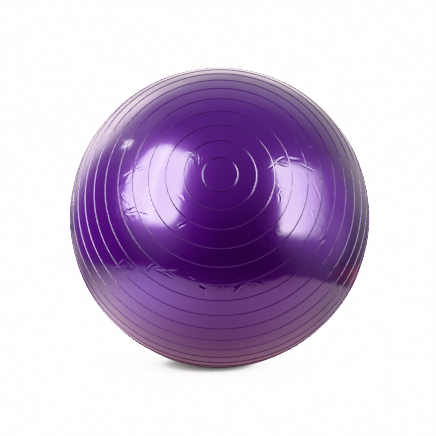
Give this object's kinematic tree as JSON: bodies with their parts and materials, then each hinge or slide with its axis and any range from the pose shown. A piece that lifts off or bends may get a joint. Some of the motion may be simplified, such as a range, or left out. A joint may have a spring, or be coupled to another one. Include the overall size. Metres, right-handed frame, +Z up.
{
  "type": "exercise ball",
  "caption": "Inflated exercise ball with fine grip ribs round it, resting on a small flat, with a moulded valve seat and a push-in plug at the rear pole.",
  "frame": {"origin": "on the floor, at the centre of the flat that the ball's weight presses into it, under the ball's centre", "axes": "+Z up; -Y towards the front, so that the ribs' front pole points to -Y and 18 degrees up and the valve to +Y and 18 degrees down; +X to the right seen from the front"},
  "size_m": [0.652, 0.6518, 0.6495],
  "materials": {
    "skin": "gloss",
    "valve_seat": "satin",
    "plug": "satin"
  },
  "bodies": {
    "ball": {"ball_skin": "skin", "valve_seat": "valve_seat"},
    "plug": {"valve_plug": "plug"}
  },
  "joints": [
    {"name": "plug_pull", "type": "slide", "parent": "ball", "child": "plug", "axis": [0, 0.9511, -0.309], "range_m": [0, 0.032]}
  ]
}
